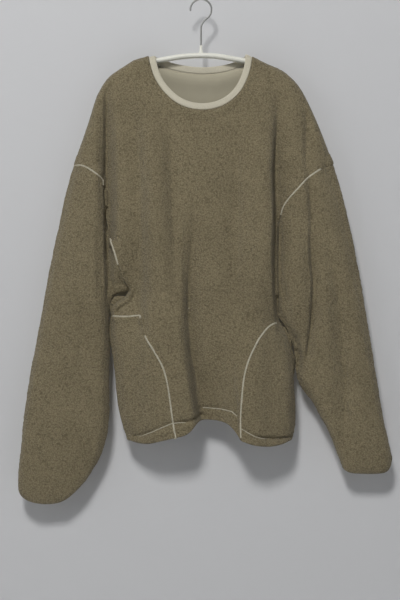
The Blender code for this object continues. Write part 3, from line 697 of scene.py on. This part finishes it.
def on_grid(values, x, z):
    """The value at the places x, z in mm, between the four grid points round each."""
    across = np.clip((x - room_x[0]) / GRID, 0, len(room_x) - LAST_CELL)
    up = np.clip((z - room_z[0]) / GRID, 0, len(room_z) - LAST_CELL)
    i, j = up.astype(int), across.astype(int)
    u, v = up - i, across - j
    low = values[i, j] * (1 - v) + values[i, j + 1] * v
    high = values[i + 1, j] * (1 - v) + values[i + 1, j + 1] * v
    return low * (1 - u) + high * u


def eased(depth, limit):
    """depth where it is small, never more than limit."""
    limit = np.maximum(limit, LEAST_LIMIT)
    return np.where(depth > 0, limit * np.tanh(depth / limit), depth)


def crease_depth(rows, x, z):
    """Depth of one crease in mm at the places x, z, also in mm."""
    nearest = np.full(len(x), np.inf)
    depth = np.zeros(len(x))
    for (ax, az, *first), (bx, bz, *last) in zip(rows, rows[1:]):
        run = np.array((bx - ax, bz - az), float)
        length = np.linalg.norm(run)
        share = np.clip(((x - ax) * run[0] + (z - az) * run[1]) / length ** 2, 0, 1)
        away = np.hypot(x - ax - share * run[0], z - az - share * run[1])
        right = run[0] * (z - az) - run[1] * (x - ax) > 0
        deep, wide_left, wide_right = (a + (b - a) * share for a, b in zip(first, last))
        wide = np.where(right, wide_right, wide_left)
        run_out = (np.hypot(away, BOTTOM * wide) - BOTTOM * wide) / (TROUGH_REACH * wide)
        trough = np.clip(1 - run_out, 0, 1) ** 2
        ridge = np.exp(-(away / wide) ** 2)
        better = away < nearest
        nearest[better] = away[better]
        depth[better] = (deep * np.where(deep > 0, trough, ridge))[better]
    return depth


def depth_of_all(creases, x, z):
    return sum(crease_depth(rows, x, z) for rows in creases.values())


# %% [markdown]
# Under each arm the cloth shifts sideways as well: the back hangs a little wider than the
# front and closes the gap behind it, and beside the right sleeve the front is drawn in
# towards the middle. A tuck moves the cloth round one point, less and less towards the edge
# of its circle. Under the right arm both walls of the sleeve also draw back together.

# %% Tucks under the arms
TUCKS = (  # front (-1) or back (1), middle x, z, radius, move along x, along z, in mm
    (1, -150, -546, 26, -11, 9),
    (1, -166, -600, 34, -7, 0),
    (1, 158, -604, 26, 10, 5),
    (1, 168, -650, 30, 6, 0),
    (-1, 139, -330, 120, -4, 0),
    (-1, 139, -480, 120, -5, 0),
)
SET_BACK = (  # same columns as a crease, but for both walls of the right sleeve
    (158, -585, 0, 6, 8), (170, -612, 9, 7, 8), (177, -640, 12, 8, 6),
    (175, -665, 10, 8, 5), (168, -690, 0, 7, 5),
)


def tuck(points, side):
    """side is -1 on the front, 1 on the back and between them at the side folds."""
    for where, x, z, radius, along_x, along_z in TUCKS:
        away = np.hypot(points[:, 0] - x * MM, points[:, 2] - z * MM) / (radius * MM)
        this_side = np.clip(side * where * 2 - 0.5, 0, 1)  # nothing near the side folds
        share = np.clip(1 - away ** 2, 0, 1) ** 2 * this_side
        points[:, 0] += share * along_x * MM
        points[:, 2] += share * along_z * MM


print("tucks:", len(TUCKS))

# %% [markdown]
# A crease of the front fades out towards the side folds and never reaches the back. The
# knit side has larger faces than the pile side. So that a narrow crease can't push the pile
# through it, the knit goes as deep as the deepest place beside it.

# %% Press and tuck
FADE = 0.35  # share of the half depth over which a crease fades out at the side folds
FRONT_SHARE, BACK_SHARE = 0.68, 0.26  # of the room, for the creases of the two sides
KNIT_REACH = 7.0  # mm
KNIT_LOOKS = ((-1, 0), (1, 0), (0, -1), (0, 1), (-0.5, 0), (0.5, 0))  # across, up, in reaches


def ease(share):
    """From 0 to 1 with a soft start and end."""
    return share * share * (3 - 2 * share)


def press_creases(cloth):
    """Moves the points of a piece, and says how far its deepest crease goes in mm."""
    points = numbers(cloth.data.vertices, "co", width=3)
    x, y, z = points.T / MM
    side = (y - on_grid(middle, x, z)) / (FADE * np.maximum(on_grid(half_depth, x, z), 1))
    side = np.clip(side, -1, 1)
    front, back = (depth_of_all(creases, x, z) for creases in (FRONT_CREASES, BACK_CREASES))
    knit_points = sorted({vertex for face in cloth.data.polygons
                          if face.material_index == KNIT_SIDE for vertex in face.vertices})
    for across, up in KNIT_LOOKS:
        beside_x = x[knit_points] + across * KNIT_REACH
        beside_z = z[knit_points] + up * KNIT_REACH
        for depth, creases in ((front, FRONT_CREASES), (back, BACK_CREASES)):
            depth[knit_points] = np.maximum(depth[knit_points],
                                            depth_of_all(creases, beside_x, beside_z))
    room_here = on_grid(room, x, z)
    move = (eased(front, room_here * FRONT_SHARE) * ease(np.clip(-side, 0, 1))
            - eased(back, room_here * BACK_SHARE) * ease(np.clip(side, 0, 1)))
    points[:, 1] += move * MM
    if cloth.name.startswith("sleeve_right"):
        points[:, 1] += crease_depth(SET_BACK, x, z) * MM
    if not cloth.name.startswith("sleeve_left"):
        tuck(points, side)
    cloth.data.vertices.foreach_set("co", points.ravel())
    cloth.data.update()
    return np.abs(move).max()


# %% [markdown]
# ## Raise the pile
# A flat surface with a pattern of curls still has a knife-sharp outline. So the pile side
# is also displaced: soft lumps a few millimetres across, and wide shallow ones that give
# the uneven loft of brushed fleece. A vertex group keeps the cut edges where they are.

# %% Raise the pile
def pile_group(cloth):
    """A vertex group of the points that lie on the pile side alone."""
    sides = [set() for _ in cloth.data.vertices]
    for face in cloth.data.polygons:
        for vertex in face.vertices:
            sides[vertex].add(face.material_index)
    group = cloth.vertex_groups.new(name="pile")
    group.add([i for i, side in enumerate(sides) if side == {PILE_SIDE}], 1.0, "REPLACE")
    return group


def raised(name, kind, size, **settings):
    texture = bpy.data.textures.new(name, kind)
    texture.noise_scale = size
    set_all(texture, settings)
    return texture


LUMPS = (  # texture, height in mm
    (raised("curls", "VORONOI", 4.6 * MM, noise_intensity=1.0), -1.3),
    (raised("loft", "CLOUDS", 22 * MM, noise_depth=1), 1.6),
)


def raise_pile(cloth):
    only(cloth)
    group = pile_group(cloth)
    for texture, height in LUMPS:
        change(cloth, texture.name, "DISPLACE", texture=texture, texture_coords="LOCAL",
               strength=height * MM, mid_level=0.5, vertex_group=group.name)
    bpy.ops.object.shade_smooth()


# %% [markdown]
# The pile curls round each cut edge, and at the hem and cuffs it is turned up inside. So
# the rows of knit faces next to an edge wear the fleece too, except under the neck binding.

# %% Wrap the edges in pile
WRAPPED_ROWS = 4
NECK_LOWEST, NECK_HALF = -0.200, 0.115  # the knit stays bare above this and within it


def wrap_edges(cloth):
    faces = cloth.data.polygons
    for _ in range(WRAPPED_ROWS):
        edge_points = {vertex for face in faces if face.material_index != KNIT_SIDE
                       for vertex in face.vertices}
        wrapped = [face for face in faces
                   if face.material_index == KNIT_SIDE
                   and edge_points.intersection(face.vertices)
                   and not (face.center.z > NECK_LOWEST and abs(face.center.x) < NECK_HALF)]
        for face in wrapped:
            face.material_index = CUT_EDGE


# %% [markdown]
# ## The six pieces of fleece
# Now each solid goes through the same steps. The table also gives how large each piece was
# cut: the rectangle round its pattern piece, and the area of the piece itself. These sizes are
# not used here.

# %% Make the six pieces
PIECES = (
    # solid, point inside it or None for its own middle, cut width, cut length, cut area
    ("front_panel", WEARER, 0.520, 0.690, 0.205),
    ("back_panel", WEARER, 0.520, 0.700, 0.245),
    ("sleeve_left", None, 0.340, 0.630, 0.160),
    ("sleeve_right", None, 0.340, 0.620, 0.148),
    ("side_panel_left", WEARER, 0.125, 0.235, 0.0215),
    ("side_panel_right", WEARER, 0.115, 0.235, 0.0205),
)
cloths = {}
for node, inside_point, width, length, area in PIECES:
    cloth = copy_of(node, node + "_cloth")
    low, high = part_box(node)
    mark_sides(cloth, inside_point or (low + high) / 2)
    hidden = find_cut_edges(cloth)
    subdivide(cloth)
    deepest = press_creases(cloth)
    raise_pile(cloth)
    wrap_edges(cloth)
    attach(cloth, "root")
    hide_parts(node)
    cloths[node] = cloth
    print(node, len(cloth.data.polygons), "faces,", hidden, "hidden cut edges,",
          "deepest crease", round(deepest, 1), "mm")

# %% [markdown]
# ## Flat seams
# A flat seam lays the two cut edges side by side and covers them with thread. On the pile
# side it shows as a narrow cream ridge. It follows the edge of a piece exactly, so it is
# made from that edge: the edge line is copied out of the cloth, turned into a curve, given
# a round thickness and turned back into a mesh.

# %% Cream thread
THREAD_TURN = 1.3 * MM
THREAD_PATCH = 9 * MM
THREAD_RELIEF = 0.6 * MM
THREAD_SHADE, TURN_DARKENS, PATCH_DARKENS = 1.15, 0.7, 0.5
SEAM_DARK = (0.26, 0.23, 0.16)
SEAM_LIGHT = (0.64, 0.60, 0.48)


def cream_thread():
    finish = Finish("cream_thread", Roughness=0.8, Specular_IOR_Level=0.2)
    turns = finish.cells(THREAD_TURN)["Distance"]
    patches = finish.noise(THREAD_PATCH, 2)
    shade = THREAD_SHADE - turns * TURN_DARKENS - patches * PATCH_DARKENS
    return finish.wear(Base_Color=finish.colours(shade, SEAM_DARK, SEAM_LIGHT),
                       Normal=finish.relief(1 - turns, THREAD_RELIEF))


thread = cream_thread()
print("finish:", thread.name)

# %% [markdown]
# The strand's points come from the edge of the piece, sunk a little, so that it lies in
# the pile instead of on it.

# %% Seams along the edges
SEAM_RADIUS = 1.9 * MM
SEAM_LIFT = -0.6 * MM


def strand(name, places, links, radius):
    """A round strand of thread along a line of places, joined by links."""
    mesh = bpy.data.meshes.new(name)
    mesh.from_pydata(places, links, [])
    line = bpy.data.objects.new(name, mesh)
    scene.collection.objects.link(line)
    only(line)
    bpy.ops.object.convert(target="CURVE")
    line.data.bevel_depth = radius
    line.data.bevel_resolution = 2
    line.data.use_fill_caps = True
    bpy.ops.object.convert(target="MESH")
    line.data.materials.append(thread)
    bpy.ops.object.shade_smooth()
    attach(line, "root")
    print(name, len(line.data.polygons), "faces")


def seam_along(node, name, wanted):
    """A strand along those edges of the pile side whose middle is wanted."""
    mesh = cloths[node].data
    skin = skin_of([cloths[node]], PILE_SIDE)
    number, places, links = {}, [], []
    for key, pair in beside_edges(mesh).items():
        a, b = (mesh.vertices[i].co for i in key)
        sides = {face.material_index for face in pair}
        if sides == {PILE_SIDE, CUT_EDGE} and wanted((a + b) / 2):
            for i in key:
                if i not in number:
                    number[i] = len(places)
                    place = mesh.vertices[i].co
                    places.append(place + skin.find_nearest(place)[1] * SEAM_LIFT)
            links.append([number[i] for i in key])
    strand(name, places, links, SEAM_RADIUS)


# %% [markdown]
# Each seam has a short rule that says where it shows. On the front the lower part of each
# armhole seam lies buried in the fold beside the sleeve. The left one comes out again for a
# short stretch, where the sleeve folds forward.

# %% The four seams
CAP_LEFT, FOLD_LEFT, UNDERARM_LEFT = -0.335, -0.430, -0.485  # heights in metres
CAP_RIGHT, UNDERARM_RIGHT = -0.388, -0.700
PANEL_TOP, CURVE_TOP, CURVE_FOOT = -0.572, -0.604, -0.784
PANEL_SIDE_LEFT, CURVE_SIDE_LEFT, PANEL_SIDE_RIGHT = -0.158, -0.112, 0.134  # from the middle
FOLD_X, FOLD_Z, FOLD_SLOPE = -0.1655, -0.427, 0.36  # a point on the fold's edge, and its slope
HEM_X, HEM_Z, HEM_SLOPE = 0.070, -0.783, -0.2  # the same for the hem on the right


def left_armhole(p):
    """The cap, the back, and on the front the stretch that comes out of the fold."""
    edge_of_fold = FOLD_X + (FOLD_Z - p.z) * FOLD_SLOPE
    stretch = p.z < FOLD_LEFT and p.x > edge_of_fold
    return p.z > CAP_LEFT or p.z > UNDERARM_LEFT and (p.y > 0 or stretch)


def right_armhole(p):
    """The cap and the back."""
    return p.z > CAP_RIGHT or p.z > UNDERARM_RIGHT and p.y > 0


def left_corner(p):
    """The straight top, and the curve from below its bend down to the hem."""
    curve = CURVE_FOOT < p.z < CURVE_TOP and p.x > CURVE_SIDE_LEFT
    return p.x > PANEL_SIDE_LEFT and (p.z > PANEL_TOP or curve)


def right_corner(p):
    """The curve, down to the slanting edge of the hem."""
    edge_of_hem = HEM_Z + (p.x - HEM_X) * HEM_SLOPE
    return p.x < PANEL_SIDE_RIGHT and p.z > edge_of_hem


seam_along("sleeve_left", "armhole_seam_left", left_armhole)
seam_along("sleeve_right", "armhole_seam_right", right_armhole)
seam_along("side_panel_left", "corner_seam_left", left_corner)
seam_along("side_panel_right", "corner_seam_right", right_corner)

# %% [markdown]
# ## Hem stitching
# The hem is turned up and stitched down. The stitches sink into the pile: they show as a
# cream thread in places and are lost in a dark groove in others. The groove is among the
# creases. The thread is laid along it by dropping a line of points onto the cloth.

# %% Hem thread
THREAD_RADIUS = 0.9 * MM
THREAD_STEP = 2.0  # mm from one point to the next
OUTSIDE = 0.2  # metres from the middle to where the points are dropped from
HEM_THREADS = {  # from the front (-1) or the back (1), rows x, z, height over the cloth
    "hem_thread_left": (-1, (
        (-148, -780, -1.2), (-133, -780.5, -1.2), (-107, -783, -1.0), (-86, -773.5, 0.1),
        (-72, -766.5, 0.4), (-51, -757.5, 0.5), (-36, -756, 0.0), (-24.5, -756, -1.2))),
    "hem_thread_middle": (-1, (
        (3, -733, 0.5), (37, -735, 0.5), (54.5, -738, 0.4), (65, -747, -0.2))),
    "hem_thread_right": (-1, (
        (71, -767, -0.2), (83, -774, 0.4), (95, -780.5, 0.4), (106, -784, 0.0),
        (120, -786, -1.2), (160, -786, -1.2))),
    "hem_thread_back": (1, (
        (-146, -778, 0.2), (-90, -773, 0.3), (-40, -756, 0.3), (0, -736, 0.4),
        (40, -738, 0.3), (80, -762, 0.3), (120, -772, 0.2), (160, -774, 0.0))),
}
hem_skin = skin_of([cloths[node] for node in cloths if not node.startswith("sleeve")],
                   PILE_SIDE)
for name, (side, rows) in HEM_THREADS.items():
    places = []
    for first, last in zip(rows, rows[1:]):
        steps = max(1, round(math.dist(first[:2], last[:2]) / THREAD_STEP))
        for step in range(steps):
            x, z, height = (a + (b - a) * step / steps for a, b in zip(first, last))
            hit = hem_skin.ray_cast(Vector((x * MM, side * OUTSIDE, z * MM)),
                                    Vector((0, -side, 0)))[0]
            if hit is not None:
                places.append(hit + Vector((0, side * height * MM, 0)))
    strand(name, places, [(i, i + 1) for i in range(len(places) - 1)], THREAD_RADIUS)

# %% [markdown]
# ## Neck binding
# The neck is bound with a strip of fine rib, folded over the cut edge. The solid has its
# form, so a copy of it is rounded off and plumped by about half a millimetre, which closes
# the slit beside it. The ribs run across the strip, so they count along the turn round the
# neck's middle.

# %% Rib knit
RIB, RIB_LOOP = 1.6 * MM, 1.2 * MM
RIB_SHARE, LOOSE_SHARE = 0.1, 0.8  # of the rib's height
RIB_RELIEF = 0.35 * MM
NECK_MIDDLE, NECK_RADIUS = -0.120, 80 * MM
RIB_PALER = 0.1
PLUMP = 0.6 * MM
RIB_DARK = (0.44, 0.40, 0.30)
RIB_LIGHT = (0.66, 0.62, 0.50)


def rib_knit():
    finish = Finish("rib_knit", Roughness=0.8, Sheen_Weight=0.2, Sheen_Roughness=0.5,
                    Specular_IOR_Level=0.2)
    parts = finish.node("ShaderNodeSeparateXYZ", None, {0: finish.place()})
    turn = parts.maths("ARCTAN2", parts["X"], parts["Z"] - NECK_MIDDLE)
    rows = turn.maths("SINE", turn * (2 * math.pi * NECK_RADIUS / RIB), 0)
    height = rows * RIB_SHARE + finish.noise(RIB_LOOP, 2) * LOOSE_SHARE
    return finish.wear(Base_Color=finish.colours(height + RIB_PALER, RIB_DARK, RIB_LIGHT),
                       Normal=finish.relief(height, RIB_RELIEF))


binding = copy_of("neck_binding", "neck_binding_rib")
binding.data.materials.append(rib_knit())
round_off(binding, 2)
change(binding, "plump", "DISPLACE", strength=PLUMP, mid_level=0)
bpy.ops.object.shade_smooth()
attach(binding, "root")
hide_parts("neck_binding")
print("binding", len(binding.data.polygons), "faces")

# %% [markdown]
# ## Hanger
# The bar is moulded in satin cream plastic with a faint mottle. The hook is steel wire, a
# little worn. In each finish one fine noise gives both the roughness and the relief.

# %% Hanger finishes
PLASTIC_DARK, PLASTIC_LIGHT = (0.70, 0.69, 0.60), (0.82, 0.81, 0.73)
STEEL_DARK, STEEL_LIGHT = (0.36, 0.36, 0.34), (0.52, 0.52, 0.50)
MOTTLE, SCUFF, STEEL_LINE = 14 * MM, 2.5 * MM, 0.7 * MM
SCUFF_RELIEF, LINE_RELIEF = 0.08 * MM, 0.05 * MM
PLASTIC_ROUGHNESS, STEEL_ROUGHNESS, WORN_ROUGHER = 0.32, 0.3, 0.2


def hanger_plastic():
    finish = Finish("hanger_plastic", Specular_IOR_Level=0.4)
    mottle = finish.noise(MOTTLE, 3)
    scuffs = finish.noise(SCUFF, 4)
    return finish.wear(Base_Color=finish.colours(mottle, PLASTIC_DARK, PLASTIC_LIGHT),
                       Roughness=scuffs * WORN_ROUGHER + PLASTIC_ROUGHNESS,
                       Normal=finish.relief(scuffs, SCUFF_RELIEF))


def hook_steel():
    finish = Finish("hook_steel", Metallic=1.0)
    lines = finish.noise(STEEL_LINE, 3)
    return finish.wear(Base_Color=finish.colours(lines, STEEL_DARK, STEEL_LIGHT),
                       Roughness=lines * WORN_ROUGHER + STEEL_ROUGHNESS,
                       Normal=finish.relief(lines, LINE_RELIEF))


steel = hook_steel()
for material_slot in frame["nodes"]["hanger_hook"].material_slots:
    material_slot.material = steel
print("the hook wears", steel.name)

# %% [markdown]
# The bar's solid has flat sides, so a copy that is rounded off stands for it. Its neck, the
# stub that holds the hook, is slimmer than the solid's. The stub's points are picked by
# their place and drawn in towards the hook's line.

# %% The hanger's bar
low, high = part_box("hanger_bar")
hook_low, hook_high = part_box("hanger_hook")
HOOK_PLACE = Vector((0, (hook_low.y + hook_high.y) / 2, high.z))
STUB_FOOT = high.z - 10.5 * MM
STUB_HALF = 6 * MM  # more than half its width
STUB_SLIMMER = 0.6
bar = copy_of("hanger_bar", "hanger_bar_rounded")
bar.data.materials.append(hanger_plastic())
round_off(bar, 2)
stub = [vertex.index for vertex in bar.data.vertices
        if vertex.co.z > STUB_FOOT and abs(vertex.co.x - HOOK_PLACE.x) < STUB_HALF]
pick_nothing("VERT")
for i in stub:
    bar.data.vertices[i].select = True
bpy.ops.object.mode_set(mode="EDIT")
bpy.ops.transform.resize(value=(STUB_SLIMMER, STUB_SLIMMER, 1), center_override=HOOK_PLACE)
bpy.ops.object.mode_set(mode="OBJECT")
bpy.ops.object.shade_smooth()
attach(bar, "root")
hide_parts("hanger_bar")
print("bar", len(bar.data.polygons), "faces,", len(stub), "points drawn in")

# %% [markdown]
# ## Wall, floor and light
# The pullover hangs close to a pale wall, which catches its soft shadow. From behind, the
# wall would hide it, so the wall's back is clear and it casts no shadow.

# %% Wall and floor
STAGE_SIZE = 12.0
WALL_PLACE = 42 * MM
FLOOR_PLACE = -1500 * MM
WALL_HEIGHT = STAGE_SIZE / 2 + FLOOR_PLACE  # of its middle, so that it stands on the floor
WALL_COLOUR, FLOOR_COLOUR = (0.61, 0.61, 0.615, 1), (0.72, 0.72, 0.72, 1)


def stage_sheet(name, location, rotation, material):
    bpy.ops.object.select_all(action="DESELECT")
    bpy.ops.mesh.primitive_plane_add(size=STAGE_SIZE, location=location, rotation=rotation)
    sheet = bpy.context.object
    sheet.name = name
    sheet.data.materials.append(material)
    sheet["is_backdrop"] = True
    return sheet


def wall_paint():
    finish = Finish("wall_paint", Roughness=0.9, Base_Color=WALL_COLOUR)
    back = finish.node("ShaderNodeNewGeometry")["Backfacing"]
    clear = finish.node("ShaderNodeBsdfTransparent")
    shader = Reading(finish, finish.shader.outputs[0])
    mixed = finish.node("ShaderNodeMixShader", None, {0: back, 1: shader, 2: clear})
    finish.join(mixed, finish.tree.nodes["Material Output"].inputs["Surface"])
    return finish.material


upright = (math.radians(90), 0, 0)
wall = stage_sheet("wall", (0, WALL_PLACE, WALL_HEIGHT), upright, wall_paint())
wall.visible_shadow = False
floor_paint = Finish("floor_paint", Roughness=0.8, Base_Color=FLOOR_COLOUR)
floor = stage_sheet("floor", (0, 0, FLOOR_PLACE), (0, 0, 0), floor_paint.material)
print("stage:", wall.name, "and", floor.name)

# %% [markdown]
# One soft lamp hangs high in front and casts the shadow on the wall. A larger one on each
# side stands for a window, the left one stronger, and models the upright folds. The even
# light of a pale room fills the shadows, and a lamp behind lights the back.

# %% Lamps
MIDDLE = Vector((0, 0, -0.47))
LAMPS = (  # name, the way its light travels, distance, size, power in watts
    ("lamp above", (0.20, 1.0, -0.80), 3.4, 0.6, 71),
    ("window", (1.0, 0.80, -0.30), 3.4, 2.4, 10),
    ("second window", (-1.0, 0.80, -0.30), 3.4, 2.4, 3),
    ("light behind", (-0.3, -1, -0.5), 3.5, 2.5, 40),
)
ROOM_COLOUR, ROOM_STRENGTH = (0.86, 0.92, 1.0, 1), 0.11


def lamp(name, run, away, size, power):
    """A square lamp whose light travels along run through the pullover's middle."""
    run = Vector(run).normalized()
    bpy.ops.object.select_all(action="DESELECT")
    bpy.ops.object.light_add(type="AREA", location=MIDDLE - run * away)
    light = bpy.context.object
    light.name = name
    light.rotation_euler = run.to_track_quat("-Z", "Y").to_euler()
    light.data.size = size
    light.data.energy = power


for row in LAMPS:
    lamp(*row)
world = bpy.data.worlds.new("pale room")
scene.world = world
world.use_nodes = True
background = world.node_tree.nodes["Background"]
background.inputs["Color"].default_value = ROOM_COLOUR
background.inputs["Strength"].default_value = ROOM_STRENGTH
scene.view_settings.view_transform = "Standard"
print("lamps:", len(LAMPS))

# %% [markdown]
# ## Sizes
# The pile adds a few millimetres to the solids' box. How far the dressed pullover grows past
# that box on each side is printed.

# %% Sizes
low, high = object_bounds()
print("grown by, mm:", [round(v / MM, 1) for v in (*(cad_low - low), *(high - cad_high))])
